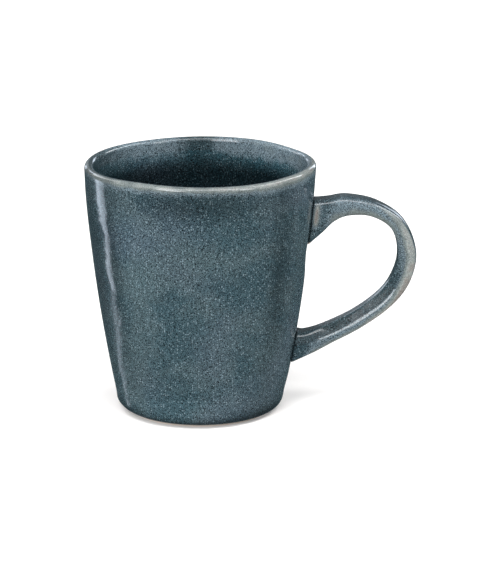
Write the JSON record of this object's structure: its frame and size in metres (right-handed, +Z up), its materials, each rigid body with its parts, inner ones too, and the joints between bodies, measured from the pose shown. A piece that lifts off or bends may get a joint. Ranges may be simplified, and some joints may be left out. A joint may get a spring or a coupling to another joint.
{
  "type": "mug",
  "caption": "Glazed stoneware mug with a tapering round cup, a strap handle with an open finger loop, and a bare turned foot ring",
  "frame": {"origin": "centre of the foot ring, in the plane that it stands on", "axes": "+Z up along the cup's axis, +X from the cup's axis towards the handle, +Y away from a viewer who sees the handle on the right"},
  "size_m": [0.123, 0.0858, 0.094],
  "materials": {
    "stoneware_clay": "matt fired clay",
    "bare_foot_clay": "matt fired clay, sponged smooth",
    "joining_slip": "matt fired slip",
    "blue_grey_glaze": "satin gloss, finely speckled",
    "liner_glaze": "satin gloss, finely speckled"
  },
  "bodies": {
    "root": {"cup_body": "stoneware_clay", "foot_ring": "bare_foot_clay", "handle": "stoneware_clay", "upper_slip_joint": "joining_slip", "lower_slip_joint": "joining_slip", "outer_glaze": "blue_grey_glaze", "liner_glaze": "liner_glaze", "handle_glaze": "blue_grey_glaze", "base_glaze": "blue_grey_glaze"}
  },
  "joints": []
}
